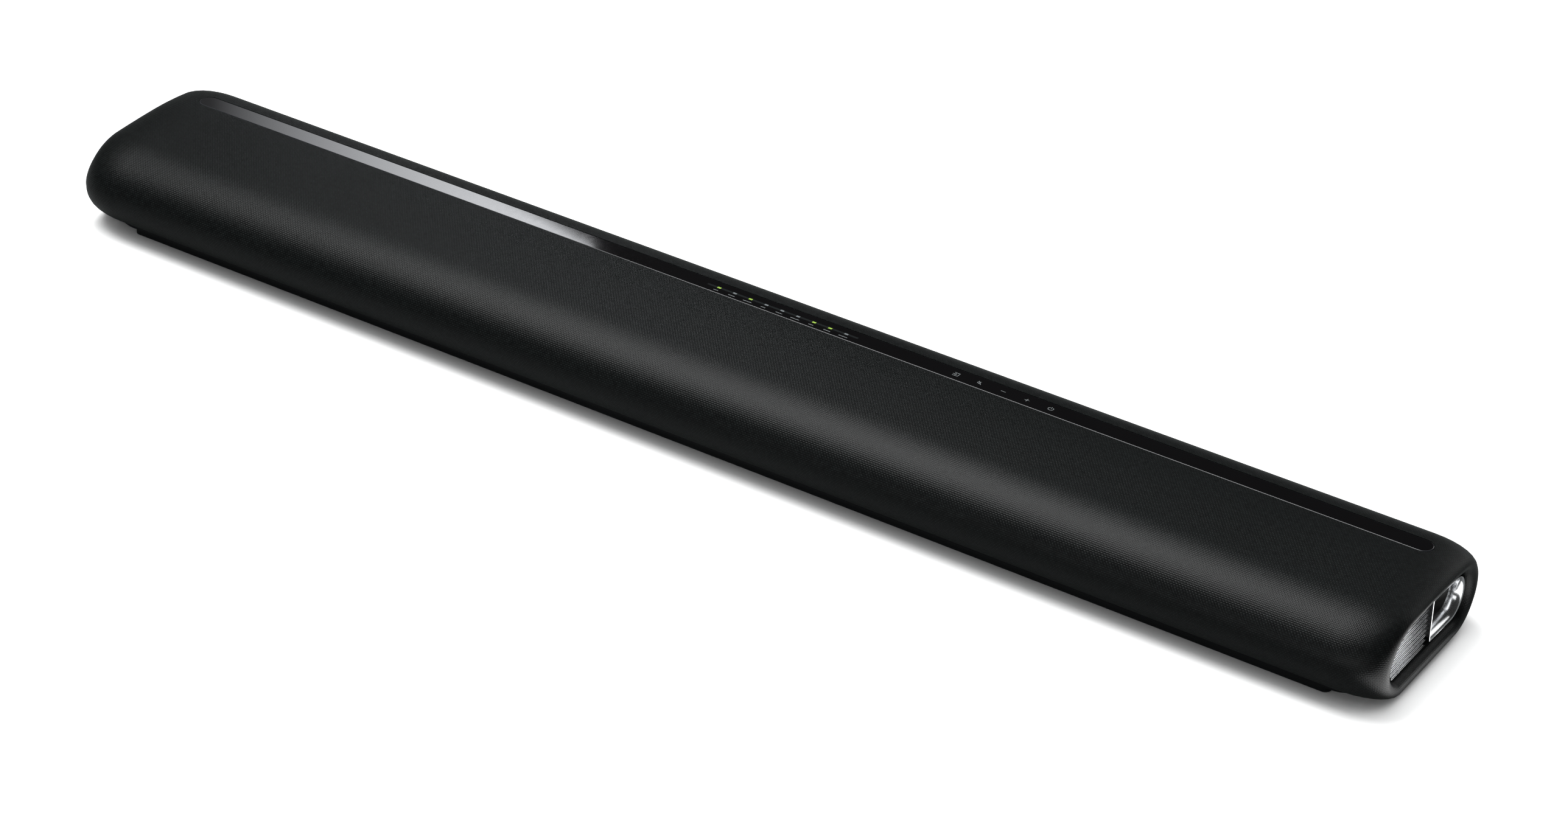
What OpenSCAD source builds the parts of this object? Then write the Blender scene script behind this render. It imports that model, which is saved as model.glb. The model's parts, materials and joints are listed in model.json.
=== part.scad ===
// Slim living-room soundbar: a cloth-wrapped bar with a gloss touch strip on top, a finned grille and a
// flared bass port at each end, and six drive units over two sealed cabinets.
// Frame: X runs along the bar, -Y is the front, +Z is up. The origin is on the table under the middle.

/* [Body] */
// Width of the bar, end to end
body_w = 890; // [860:5:1100]
// Depth of the bar, front to rear
body_d = 131; // [126:1:165]
// Height of the bar above the table
body_h = 53; // [51:0.5:66]
// Height of the base plate above the table
foot_h = 4; // [3:0.5:6]
// Height of the foremost point of the front
nose_h = 29; // [26:0.5:32]
// Height of the rearmost point of the back
tail_h = 28; // [26:0.5:32]

/* [Ends] */
// Length over which the ends round off
end_round = 28; // [20:1:34]
// How far the end ring steps in at the front
end_front_in = 15.5; // [12:0.5:17]
// How far the end ring steps in at the rear
end_rear_in = 11; // [8:0.5:13]
// How far the end ring steps in at the top
end_top_in = 5; // [3:0.5:6]
// How far the end ring steps in at the bottom
end_bottom_in = 0.5; // [0.5:0.5:3]
// Radius of the padded lip around each end opening
lip_r = 6; // [5:0.5:7]

/* [Skin] */
// Thickness of the speaker cloth
cloth_t = 0.8; // [0.6:0.1:1.2]
// Thickness of the grille frame under the cloth
frame_t = 2; // [1.5:0.1:2.4]
// Width of each sound slot in the grille frame
slot_w = 3; // [2:0.5:3.5]
// Spacing of the sound slots
slot_pitch = 6; // [5:0.5:8]

/* [Touch strip] */
// Length of the gloss strip
strip_l = 851; // [820:1:851]
// Width of the gloss strip
strip_w = 13.2; // [11:0.2:16]
// Thickness of the gloss strip
strip_t = 1.8; // [1.4:0.1:2]
// Distance from the rear of the bar to the middle of the strip
strip_from_rear = 30.2; // [28:0.2:33]
// Number of indicator windows
indicator_count = 9; // [5:1:12]
// Spacing of the indicator windows
indicator_pitch = 11; // [9:0.5:13]
// Place of the middle indicator along the bar
indicator_x = 7.5; // [-20:0.5:20]
// Length of an indicator window
indicator_l = 2.4; // [1.5:0.1:3.5]
// Width of an indicator window
indicator_w = 1.5; // [1:0.1:2.5]

/* [Drive units] */
// Outer diameter of a subwoofer
sub_d = 75; // [62:1:90]
// Depth of a subwoofer below its flange
sub_depth = 29; // [27:0.5:29.5]
// Subwoofer cone travel each way
sub_travel = 3; // [1:0.5:3]
// Outer diameter of a woofer
woofer_d = 55; // [46:1:66]
// Depth of a woofer below its flange
woofer_depth = 22; // [21:0.5:27]
// Woofer cone travel each way
woofer_travel = 2; // [0.5:0.5:2]
// Outer diameter of a tweeter
tweeter_d = 28; // [24:1:34]
// Radius of a tweeter dome
dome_r = 8; // [6:0.5:9]
// Thickness of a drive unit's flange
flange_t = 2.5; // [2:0.1:3]

/* [Cabinets] */
// Wall thickness of the cabinets
cabinet_t = 2.5; // [2:0.1:3]
// Height of the baffle, where the drive units sit
baffle_h = 38; // [37:0.5:39]
// Thickness of the base plate
base_t = 2.8; // [2:0.1:3]
// Length of the foot that runs along the front
foot_l = 823; // [780:1:824]
// Depth of that foot, front to rear
foot_d = 8; // [6:0.5:12]
// Spacing of the wall hooks
keyhole_spacing = 564; // [560:1:568]
// Radius of the wide end of a keyhole
keyhole_r = 4.75; // [4.5:0.05:5]
// Radius of the narrow end of a keyhole
keyhole_slot_r = 2.2; // [2:0.05:2.5]

/* [Ports and end grilles] */
// Inside radius of the bass port tube
port_r = 9.5; // [7:0.5:9.5]
// Length of the bass port tube
port_l = 43; // [30:1:60]
// Length of the flared mouth
flare_l = 15; // [11:0.5:17]
// Distance of the divider between fins and port behind the middle
divider_y = 7; // [4:0.5:10]
// Number of looped fins
fin_count = 9; // [5:1:10]
// Height of a looped fin
fin_h = 1.9; // [1.6:0.1:2.3]
// Wall of a looped fin
fin_t = 0.5; // [0.4:0.05:0.6]
// Depth of a fin into the bar
fin_depth = 4; // [3:0.5:5]

/* [Connections] */
// Width of the jack bay at the back
bay_w = 146; // [140:1:160]
// Height of the jack bay's ceiling
bay_h = 25; // [24:0.5:27]
// Place of the socket wall behind the middle
bay_y = 14; // [12:0.5:18]
// Radius of the analogue jack's bore
jack_r = 1.8; // [1.75:0.05:1.9]
// Depth of the analogue jack's bore
jack_l = 12; // [11:0.5:14]

/* [Hidden] */

gap = 0.3;             // between pieces that are fitted together
glue = 0.1;            // glue line between the cloth and its frame
over = 1;              // how far a cut runs past the face it opens
front_y = -body_d / 2;
rear_y = body_d / 2;
end_x = body_w / 2;

// ---- cross-section of the bar, as [y, z] points running up the front, over the top and down the rear

function bezier(a, b, c, d, n) = [for (i = [0 : n - 1]) let (t = i / n, s = 1 - t)
    s * s * s * a + 3 * s * s * t * b + 3 * s * t * t * c + t * t * t * d];

belly_front = [front_y + 23.5, foot_h];
nose = [front_y, nose_h];
brow = [front_y + 37, body_h - 0.4];
crown = [front_y + 70, body_h];
shoulder = [rear_y - 20, body_h - 2.25];
tail = [rear_y, tail_h];
belly_rear = [rear_y - 26, foot_h];
belly_run = belly_rear.x - belly_front.x;

section = concat(
    bezier(belly_front, belly_front - [9, 0], nose - [0, 14], nose, 6),
    bezier(nose, nose + [0, 10], brow - [22, 0.6], brow, 7),
    bezier(brow, brow + [11, 0.3], crown - [11, 0], crown, 3),
    bezier(crown, crown + [14, 0], shoulder - [14, -1.8], shoulder, 3),
    bezier(shoulder, shoulder + [12, -1.5], tail + [0, 12], tail, 6),
    bezier(tail, tail - [0, 13], belly_rear + [14, 0], belly_rear, 6),
    [for (i = [0 : 2]) belly_rear - [belly_run * i / 3, 0]]);
section_n = len(section);

function unit(v) = v / norm(v);
// Direction into the bar at point i of the cross-section
function inward(i) = let (t = unit(section[(i + 1) % section_n] - section[(i + section_n - 1) % section_n]))
    [t.y, -t.x];
// How far the end's rounding has drawn point p in, where f is 0 on the bar and 1 at the end ring
function drawn_in(p, f) = let (up = (p.y - foot_h) / (body_h - foot_h))
    [p.x * (1 - f * (p.x < 0 ? end_front_in : end_rear_in) / rear_y),
     p.y + f * (end_bottom_in * (1 - up) - end_top_in * up)];
// Cross-section drawn in by f, then t below the cloth's surface and e inside the end ring
function ring(f, t, e) = [for (i = [0 : section_n - 1]) drawn_in(section[i] + t * inward(i), f) + e * inward(i)];

// Stations from the middle of the bar to the mouth of the end opening, t below the cloth's surface: [x, f, e]
function stations(t, land) = concat(
    [for (a = [0 : 18 : 90]) [end_x - end_round + (end_round - t) * sin(a), (1 - cos(a)) * (1 - t / end_round), 0]],
    [for (a = [30 : 30 : 90]) [end_x - lip_r + (lip_r - t) * cos(a), 1 - t / end_round, (lip_r - t) * sin(a)]],
    [[end_x - lip_r - land, 1 - t / end_round, lip_r - t]]);

function reversed(v) = [for (i = [len(v) - 1 : -1 : 0]) v[i]];

// A closed band through a loop of rings, each a list of [x, y, z] points
module ring_loop(rings) {
    n = len(rings[0]);
    m = len(rings);
    polyhedron([for (r = rings) each r],
        [for (k = [0 : m - 1], i = [0 : n - 1], half = [0, 1])
            let (a = k * n + i, b = k * n + (i + 1) % n, c = ((k + 1) % m) * n + (i + 1) % n, d = ((k + 1) % m) * n + i)
            half == 0 ? [a, b, c] : [a, c, d]]);
}

// The bar's skin from t_out to t_in below the cloth's surface, open at both ends
module skin(t_out, t_in) {
    land = 6;
    outer = stations(t_out, land);
    inner = stations(t_in, land);
    function at(s, t, side) = [for (p = ring(s.y, t, s.z)) [side * s.x, p.x, p.y]];
    ring_loop(concat(
        [for (s = reversed(outer)) at(s, t_out, -1)],
        [for (s = outer) at(s, t_out, 1)],
        [for (s = reversed(inner)) at(s, t_in, 1)],
        [for (s = inner) at(s, t_in, -1)]));
}

// ---- places that follow from the cross-section

top_run = [for (p = section) if (p.y > body_h - 8 && p.x > front_y + 30) [p.x, p.y]];
function top_z(y) = lookup(y, top_run);
strip_y = rear_y - strip_from_rear;
strip_z = top_z(strip_y);
strip_tilt = atan2(top_z(strip_y + 5) - top_z(strip_y - 5), 10);

// Outline of the end opening, e inside the cloth lip
function opening(e) = ring(1, 0, lip_r + e);
opening_low = min([for (p = opening(0)) p.y]);
opening_high = max([for (p = opening(0)) p.y]);

base_top = foot_h + base_t;
skin_cut = max(base_top, foot_h + cloth_t + glue + frame_t) + gap;
base_front = front_y + 15.5;
base_rear = rear_y - 17.5;
base_end = end_x - 15;
ring_x = base_end + gap;

// ---- small helpers

module both_sides() { children(); mirror([1, 0, 0]) children(); }
module box(from, to) { translate(from) cube(to - from); }
module stadium(l, w, z0, z1) {
    translate([0, 0, z0]) linear_extrude(z1 - z0) {
        square([l - w, w], center = true);
        for (s = [-1, 1]) translate([s * (l - w) / 2, 0]) circle(d = w, $fn = 48);
    }
}
module on_strip() { translate([0, strip_y, strip_z]) rotate([strip_tilt, 0, 0]) children(); }
module side(name) { if (name == "left") mirror([1, 0, 0]) children(); else children(); }

// ---- skin: cloth, frame and base

skin_under = cloth_t + glue;
skin_inside = skin_under + frame_t;

module base_opening() {
    box([-base_end - gap, front_y - over, -over], [base_end + gap, rear_y + over, skin_cut]);
}
module bay_opening() {
    box([-bay_w / 2 - jack_wall - gap, bay_y, -over],
        [bay_w / 2 + jack_wall + gap, rear_y + over, bay_h + jack_wall + gap]);
}
module strip_opening(clear) { on_strip() stadium(strip_l + 2 * clear, strip_w + 2 * clear, -8, over + 1); }

module cloth_cover() {
    color("#1b1d1e") difference() {
        skin(0, cloth_t);
        base_opening();
        bay_opening();
        strip_opening(gap);
    }
}

// Sound slots over a round driver of radius r at [x, y]
module sound_slots(x, y, r) {
    for (k = [-floor(r / slot_pitch) : floor(r / slot_pitch)])
        let (half = sqrt(r * r - pow(k * slot_pitch, 2)))
        box([x - half, y + k * slot_pitch - slot_w / 2, baffle_h], [x + half, y + k * slot_pitch + slot_w / 2, body_h + over]);
}

module grille_frame() {
    color("#202122") difference() {
        skin(skin_under, skin_inside);
        both_sides() box([ring_x, front_y - over, -over], [end_x + over, rear_y + over, body_h + over]);
        base_opening();
        bay_opening();
        strip_opening(gap);
        both_sides() {
            sound_slots(sub_x, sub_y, sub_d / 2 - 10);
            sound_slots(woofer_x, woofer_y, woofer_d / 2 - 7);
            sound_slots(tweeter_x, tweeter_y, tweeter_d / 2 - 4);
        }
    }
}

// Stiff ring at each end of the frame, with the lip that the cloth wraps around
module end_ring() {
    color("#202122") difference() {
        skin(skin_under, skin_inside);
        box([-end_x - over, front_y - over, -over], [ring_x + glue, rear_y + over, body_h + over]);
    }
}

module base_cover() {
    color("#151617") difference() {
        union() {
            // plate with rounded corners
            corner = 18;
            translate([0, 0, foot_h]) linear_extrude(base_t) {
                translate([-base_end + corner, base_front]) square([2 * (base_end - corner), base_rear - base_front]);
                translate([-base_end, base_front + corner]) square([2 * base_end, base_rear - base_front - 2 * corner]);
                for (sx = [-1, 1], y = [base_front + corner, base_rear - corner])
                    translate([sx * (base_end - corner), y]) circle(r = corner, $fn = 48);
            }
            // foot along the front
            translate([0, base_front + foot_d / 2, 0]) stadium(foot_l, foot_d, pad_t, foot_h);
            // cups over the keyholes
            both_sides() translate([keyhole_spacing / 2, keyhole_y, foot_h]) cylinder(h = 8, r = cup_r, $fn = 48);
            // posts under the boards
            for (p = board_posts) translate([p.x, p.y, foot_h]) cylinder(h = board_z - foot_h, r = 3, $fn = 32);
        }
        // keyholes
        both_sides() translate([keyhole_spacing / 2, keyhole_y, 0]) {
            translate([0, 0, -over]) cylinder(h = foot_h + base_t + over, r = keyhole_r, $fn = 48);
            translate([0, 0, foot_h + base_t - over]) cylinder(h = over + 5.5 - base_t, r = cup_r - 1.5, $fn = 48);
            box([-keyhole_slot_r, 0, -over], [keyhole_slot_r, 9, foot_h + base_t]);
            translate([0, 9, -over]) cylinder(h = foot_h + base_t + over, r = keyhole_slot_r, $fn = 32);
        }
        // window for the jack bay
        box([-bay_w / 2 - jack_wall - gap, bay_y - gap, 0], [bay_w / 2 + jack_wall + gap, base_rear + over, base_top + over]);
        // screw holes in the posts under the boards
        for (p = board_posts) translate([p.x, p.y, board_z - 5]) cylinder(h = 5 + over, r = screw_r + 0.02, $fn = 24);
        // clearance holes and head seats for the cabinet screws
        for (p = base_screw_places) translate([p.x, p.y, foot_h - over]) {
            cylinder(h = base_t + 2 * over, r = screw_r + gap, $fn = 32);
            cylinder(h = over + screw_head_t, r = screw_head_r + gap, $fn = 32);
        }
    }
}

pad_t = 0.8;
module foot_pads() {
    color("#101010") {
        for (x = [-360, -120, 120, 360] * foot_l / 823)
            translate([x, base_front + foot_d / 2, 0]) stadium(44, foot_d - 2, 0, pad_t);
        for (x = [-360, 360] * foot_l / 823) translate([x, base_rear - 14, 0]) cylinder(h = foot_h, r = 7, $fn = 48);
        for (x = [-120, 120] * foot_l / 823) translate([x, base_rear - 14, 0]) cylinder(h = foot_h, r = 7, $fn = 48);
    }
}

// ---- touch strip

indicator_row = [for (i = [0 : indicator_count - 1]) indicator_x + (i - (indicator_count - 1) / 2) * indicator_pitch];
lit = [0, 2, 6, 7];
function is_lit(i) = len([for (k = lit) if (k == i) k]) > 0;
window_depth = 1;
board_l = 300;
board_x = 88;
board_w = 9;
guide_t = 1.4;

module indicator_windows(clear, which) {
    for (i = [0 : indicator_count - 1]) if (which == "all" || (which == "lit") == is_lit(i))
        translate([indicator_row[i], 0, -window_depth / 2 + clear / 2])
            cube([indicator_l + 2 * clear, indicator_w + 2 * clear, window_depth + clear], center = true);
}
module touch_panel() {
    color("#0b0b0d") on_strip() difference() {
        stadium(strip_l, strip_w, -strip_t, 0);
        indicator_windows(0.05, "all");
    }
}
module indicator_lenses_lit() { color("#a4cb51") on_strip() indicator_windows(0, "lit"); }
module indicator_lenses_unlit() { color("#969da0") on_strip() indicator_windows(0, "unlit"); }

guide_l = indicator_pitch * indicator_count + 4;
module light_guide() {
    color("#d8dcdc") on_strip()
        box([indicator_x - guide_l / 2, -3, -strip_t - glue - guide_t], [indicator_x + guide_l / 2, 3, -strip_t - glue]);
}
board_top = -strip_t - glue - guide_t - glue;
module touch_board() {
    color("#1f5a3a") on_strip()
        box([board_x - board_l / 2, -board_w / 2, board_top - 1], [board_x + board_l / 2, board_w / 2, board_top]);
}
carrier_foot = 3;
carrier_bottom = board_top - 3.4;
carrier_reach = max(0, strip_l / 2 + carrier_foot - end_x + end_round);    // of its foot, under the rounded ends
carrier_drop = 0.255 + 0.03 * carrier_reach;                               // of its foot, below the frame
module strip_carrier() {
    color("#242526") on_strip() difference() {
        union() {
            stadium(strip_l - 1, strip_w - 1, carrier_bottom, -strip_t - glue);
            stadium(strip_l + 2 * carrier_foot, strip_w + 2 * carrier_foot, carrier_bottom, -skin_inside - carrier_drop);
        }
        box([board_x - board_l / 2 - 1, -board_w / 2 - 0.5, board_top - 2.2], [board_x + board_l / 2 + 1, board_w / 2 + 0.5, 0]);
    }
}

// ---- cabinets

cabinet_bottom = base_top + 1;
cabinet_front = front_y + 22.4;
cabinet_rear = rear_y - 24;
panel_x = end_x - 12;
panel_t = 3;
cabinet_out = panel_x - 11;
tube_out = panel_x + panel_t + 5 - flare_l;
tube_in = tube_out - port_l;
port_y = (divider_y + rear_y - end_rear_in - lip_r) / 2 - 1.5;
port_t = 1.5;          // wall of the port tube
port_z = opening_low + 1.5 + port_r + port_t;

cut_edge = 2.3;        // how far the cut-out for a driver stands off its basket
rim_w = 7;             // flange width from the cone's surround to the driver's edge
sub_cut = sub_d / 2 - rim_w + cut_edge;
woofer_cut = woofer_d / 2 - rim_w + cut_edge;
tweeter_cut = tweeter_d / 2 - 3;
sub_x = tube_in - 8 - sub_d / 2;
sub_y = cabinet_front + cabinet_t + 1 + sub_cut;
woofer_x = sub_x - sub_d / 2 - 18 - woofer_d / 2;
woofer_y = cabinet_front + cabinet_t + 3 + woofer_cut;
tweeter_x = woofer_x - woofer_d / 2 - 8 - tweeter_d / 2;
tweeter_y = cabinet_front + cabinet_t + 4 + tweeter_cut;
keyhole_y = 22;
cup_r = 8.5;           // cup over a keyhole
cup_room = 1;          // between that cup and the cabinet's inner wall
cabinet_in = min(tweeter_x - tweeter_d / 2 - 8, keyhole_spacing / 2 - cup_r - cup_room - cabinet_t);
screw_r = 1.5;
screw_head_r = 2.8;
screw_head_t = 1.2;
post_r = 4;
post_places = [[cabinet_in + 7, cabinet_rear - 7], [cabinet_in + 7, cabinet_front + 7],
    [tube_in - 9, cabinet_rear - 7], [cabinet_out - 7, cabinet_front + 7],
    [sub_x - sub_d / 2 - 9, cabinet_front + 7], [sub_x - sub_d / 2 - 9, cabinet_rear - 7]];
base_screw_places = [for (s = [-1, 1], p = post_places) [s * p.x, p.y]];

module cabinet() {
    color("#2b2c2e") difference() {
        union() {
            difference() {
                box([cabinet_in, cabinet_front, cabinet_bottom], [cabinet_out, cabinet_rear, baffle_h]);
                box([cabinet_in + cabinet_t, cabinet_front + cabinet_t, cabinet_bottom - over],
                    [cabinet_out - cabinet_t, cabinet_rear - cabinet_t, baffle_h - cabinet_t]);
            }
            for (p = post_places) translate([p.x, p.y, cabinet_bottom]) cylinder(h = baffle_h - cabinet_bottom, r = post_r, $fn = 32);
        }
        translate([sub_x, sub_y, baffle_h - cabinet_t - over]) cylinder(h = cabinet_t + 2 * over, r = sub_cut, $fn = 96);
        translate([woofer_x, woofer_y, baffle_h - cabinet_t - over]) cylinder(h = cabinet_t + 2 * over, r = woofer_cut, $fn = 96);
        translate([tweeter_x, tweeter_y, baffle_h - cabinet_t - over]) cylinder(h = cabinet_t + 2 * over, r = tweeter_cut, $fn = 64);
        translate([cabinet_out - cabinet_t - over, port_y, port_z]) rotate([0, 90, 0])
            cylinder(h = cabinet_t + 2 * over, r = port_r + port_t + 0.1, $fn = 64);
        for (p = post_places) translate([p.x, p.y, cabinet_bottom - over]) cylinder(h = 12 + over, r = screw_r + 0.02, $fn = 32);
        for (p = driver_screw_places) translate([p.x, p.y, baffle_h - cabinet_t - over])
            cylinder(h = cabinet_t + 2 * over, r = screw_r + 0.02, $fn = 24);
        // lead-through for the speaker wires
        translate([cabinet_in - over, lead_y, lead_z]) rotate([0, 90, 0]) cylinder(h = cabinet_t + 2 * over, r = lead_r + 0.1, $fn = 32);
    }
}
module cabinet_gaskets() {
    color("#333333") both_sides() difference() {
        box([cabinet_in, cabinet_front, base_top], [cabinet_out, cabinet_rear, cabinet_bottom]);
        box([cabinet_in + cabinet_t, cabinet_front + cabinet_t, base_top - over],
            [cabinet_out - cabinet_t, cabinet_rear - cabinet_t, cabinet_bottom + over]);
    }
}

// ---- end panels, fins and ports

// Mouth of the port: the part of the opening behind the divider, with the divider as its straight side
function mouth(e) = let (ring = [for (p = opening(1.2 + e)) if (p.x > divider_y + 3) p], n = len(ring) - 1,
        high = ring[0].y, low = ring[n].y, y = divider_y + e)
    concat(ring, [for (k = [0 : 5]) [y, low + 1 + (high - low - 1) * k / 5]]);

module plate(outline, x0, x1) {
    translate([x0, 0, 0]) rotate([90, 0, 90]) linear_extrude(x1 - x0) polygon(outline);
}
module end_panel() {
    color("#0d0d0e") difference() {
        plate(opening(gap), panel_x, panel_x + panel_t);
        plate(mouth(-gap), panel_x - over, panel_x + panel_t + over);
    }
}

fin_margin = 0.8;      // above the top fin's place and below the bottom one's
fin_pitch = (opening_high - opening_low - 2 * fin_margin) / fin_count;
fin_ends = 2.2;        // stagger between the rear ends of neighbouring fins
module fin_loop(y0, y1, z) {
    module bean(h) {
        hull_l = (y1 - y0) - fin_h;
        square([hull_l, h], center = true);
        for (s = [-1, 1]) translate([s * hull_l / 2, 0]) circle(d = h, $fn = 32);
    }
    translate([panel_x + panel_t, (y0 + y1) / 2, z]) rotate([90, 0, 90]) linear_extrude(fin_depth)
        difference() { bean(fin_h); bean(fin_h - 2 * fin_t); }
}
module fin_grille() {
    color("#c9ccd0") {
        for (k = [0 : fin_count - 1]) let (z = opening_low + fin_margin + fin_pitch * (k + 0.5))
            fin_loop(lookup(z, opening_front_up) + 2.4, divider_y - 2.2 - (k % 2 == 0 ? fin_ends : 0), z);
        // ties behind the fins
        for (y = [-22, -6]) box([panel_x + panel_t, y, opening_low + 3], [panel_x + panel_t + 0.8, y + 1.2, opening_high - 3]);
    }
}
// Front edge of the opening as [z, y] pairs in rising z
opening_front_up = [for (p = opening(0)) if (p.x < 0 && p.y > opening_low + 0.2 && p.y < opening_high - 0.2) [p.y, p.x]];

module port_flare() {
    steps = 5;
    centre = [port_y, port_z];
    function rounded(p, r) = centre + r * unit(p - centre);
    function blend(u) = pow(1 - u, 2.2);
    function station(k, e, r) = let (u = k / steps, w = blend(u), x = panel_x + panel_t + 5 - u * flare_l)
        [for (p = mouth(e)) let (q = w * p + (1 - w) * rounded(p, r)) [x, q.x, q.y]];
    color("#d2d5d8") ring_loop(concat(
        [for (k = [0 : steps]) station(k, 1, port_r)],
        [for (k = [steps : -1 : 0]) station(k, 0, port_r + port_t)]));
}
module port_tube() {
    color("#1a1a1b") translate([tube_in, port_y, port_z]) rotate([0, 90, 0]) difference() {
        cylinder(h = port_l, r = port_r + port_t, $fn = 96);
        translate([0, 0, -over]) cylinder(h = port_l + 2 * over, r = port_r, $fn = 96);
    }
}

// ---- drive units, each drawn about the middle of its flange's underside

// [outer diameter, depth, basket depth, cone depth, coil radius, magnet radius]
sub = [sub_d, sub_depth, 14.5, 8.5, 12.5, 27];
woofer = [woofer_d, woofer_depth, 11, 6, 8, 17];
function rim(u) = u[0] / 2 - rim_w;
function cone_edge(u) = rim(u) - u[0] / 15;

module at_sub() { translate([sub_x, sub_y, baffle_h]) children(); }
module at_woofer() { translate([woofer_x, woofer_y, baffle_h]) children(); }
module at_tweeter() { translate([tweeter_x, tweeter_y, baffle_h]) children(); }

module driver_frame(u) {
    rim = rim(u);
    seat = u[5] - 4;
    bottom = -u[2];
    coil_hole = u[4] + 1.6;
    color("#26272a") difference() {
        rotate_extrude($fn = 96) polygon([[u[0] / 2, 0], [u[0] / 2, flange_t], [rim + 2.8, flange_t], [rim + 2.8, 1.2],
            [rim, 1.2], [seat, bottom + 1.5], [coil_hole, bottom + 1.5], [coil_hole, bottom], [seat + 1.7, bottom],
            [rim + 1.8, 0]]);
        // windows in the basket, between its four arms
        for (a = [0 : 90 : 270]) rotate(a + 45)
            box([seat - 1, -seat / 2.4, bottom + 2.2], [rim + 3, seat / 2.4, -2.5]);
        for (a = [0 : 90 : 270]) rotate(a) translate([u[0] / 2 - 2.6, 0, -over])
            cylinder(h = flange_t + 2 * over, r = screw_r + 0.1, $fn = 24);
    }
}
module driver_magnet(u) {
    color("#5b5e62") rotate_extrude($fn = 96) polygon([[0, -u[1]], [u[5], -u[1]], [u[5], -u[2]], [u[4] + 1.3, -u[2]],
        [u[4] + 1.3, 3 - u[1]], [u[4] - 0.9, 3 - u[1]], [u[4] - 0.9, -u[2]], [0, -u[2]]]);
}
module driver_cone(u) {
    coil = u[4];
    edge = cone_edge(u);
    low = -u[3];
    cap = coil + 2;
    cap_z = low + (cap - coil) * (1.2 - low) / (edge - coil);
    cap_rise = coil * 0.3;
    cap_r = (cap * cap + cap_rise * cap_rise) / (2 * cap_rise);
    function dome(r, t) = [for (i = [0 : 8]) let (x = cap * i / 8) [x, cap_z + cap_rise - r + sqrt(r * r - x * x) + t]];
    color("#3a3c40") rotate_extrude($fn = 96) union() {
        polygon([[coil, low - 0.4], [coil + 0.7, low - 0.4], [edge, 1.2], [edge, 2], [coil + 0.6, low + 0.8], [coil, low + 0.8]]);
        polygon([[coil, -u[2] - 3.5], [coil + 0.5, -u[2] - 3.5], [coil + 0.5, low], [coil, low]]);
        polygon(concat(dome(cap_r, 0.1), reversed(dome(cap_r, 0.9))));
    }
}
module driver_suspension(u) {
    rim = rim(u);
    edge = cone_edge(u);
    mid = (rim + edge) / 2;
    roll = (rim - edge) / 2;
    spider_z = 4 - u[2];
    spider_in = u[4] + 0.8;
    spider_out = u[5] - 4;
    waves = 4;
    function roll_arc(r) = [for (a = [180 : -20 : 0]) [mid + r * cos(a), 2.3 + r * sin(a)]];
    function wave(t) = [for (i = [0 : 4 * waves]) let (s = i / (4 * waves))
        [spider_in + s * (spider_out - spider_in), spider_z + t + 0.5 * sin(360 * waves * s)]];
    color("#17181a") rotate_extrude($fn = 96) {
        polygon(concat([[edge - 2, 2.2], [edge - 2, 2.7]], roll_arc(roll - 0.2), [[rim + 2.6, 2], [rim + 2.6, 1.3]],
            [[rim + 0.2, 1.3]], reversed(roll_arc(roll - 0.7))));
        polygon(concat(wave(0.2), reversed(wave(-0.2))));
    }
}
module tweeter_housing() {
    color("#232426") at_tweeter() rotate_extrude($fn = 64) polygon([[tweeter_d / 2, 0], [tweeter_d / 2, flange_t],
        [dome_r + 3, flange_t], [dome_r + 0.6, 1], [dome_r + 0.6, -5], [dome_r - 0.9, -5], [dome_r - 0.9, 0], [0, 0],
        [0, -12], [tweeter_cut - 0.4, -12], [tweeter_cut - 0.4, 0]]);
}
module tweeter_dome() {
    wall = 0.4;
    function cap(r) = [for (a = [0 : 9 : 90]) [r * sin(a), 1.2 + 0.55 * r * cos(a)]];
    color("#55585c") at_tweeter() rotate_extrude($fn = 64)
        polygon(concat(cap(dome_r), [[dome_r, -3], [dome_r - wall, -3]], reversed(cap(dome_r - wall))));
}

// ---- connections

jack_wall = 2;
jack_back = bay_y + jack_wall;
board_z = 12;
board_t = 1.6;
board_top_z = board_z + board_t;
hdmi_x = [8, 32];
optical_x = -14;
analog_x = -29;
sub_out_x = -42;
service_x = 52;
mains_x = -59;
socket_z = 18.5;

module jack_panel() {
    color("#131415") difference() {
        union() {
            box([-bay_w / 2, bay_y, foot_h], [bay_w / 2, jack_back, bay_h]);
            box([-bay_w / 2 - jack_wall, bay_y, bay_h], [bay_w / 2 + jack_wall, rear_y - 1.5, bay_h + jack_wall]);
            for (s = [-1, 1]) translate([s * (bay_w + jack_wall) / 2, 0, 0])
                plate([for (p = section) if (p.x > bay_y) [min(p.x, rear_y) - 1.5, min(p.y, bay_h)]],
                    -jack_wall / 2, jack_wall / 2);
        }
        for (x = hdmi_x) box([x - 7.6, bay_y - over, socket_z - 2.9], [x + 7.6, jack_back + over, socket_z + 2.9]);
        box([optical_x - 4.8, bay_y - over, socket_z - 4.8], [optical_x + 4.8, jack_back + over, socket_z + 4.8]);
        box([service_x - 4.1, bay_y - over, socket_z - 1.8], [service_x + 4.1, jack_back + over, socket_z + 1.8]);
        for (p = [[analog_x, 3.4], [sub_out_x, 4.6]]) translate([p.x, jack_back + over, socket_z]) rotate([90, 0, 0])
            cylinder(h = jack_wall + 2 * over, r = p.y, $fn = 48);
        box([mains_x - 8.3, bay_y - over, socket_z - 4.8], [mains_x + 8.3, jack_back + over, socket_z + 4.8]);
    }
}
module socket_shell(x, w, h, depth, wall) {
    difference() {
        box([x - w / 2, jack_back - depth, socket_z - h / 2], [x + w / 2, jack_back, socket_z + h / 2]);
        box([x - w / 2 + wall, jack_back - depth + wall, socket_z - h / 2 + wall],
            [x + w / 2 - wall, jack_back + over, socket_z + h / 2 - wall]);
    }
}
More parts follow.
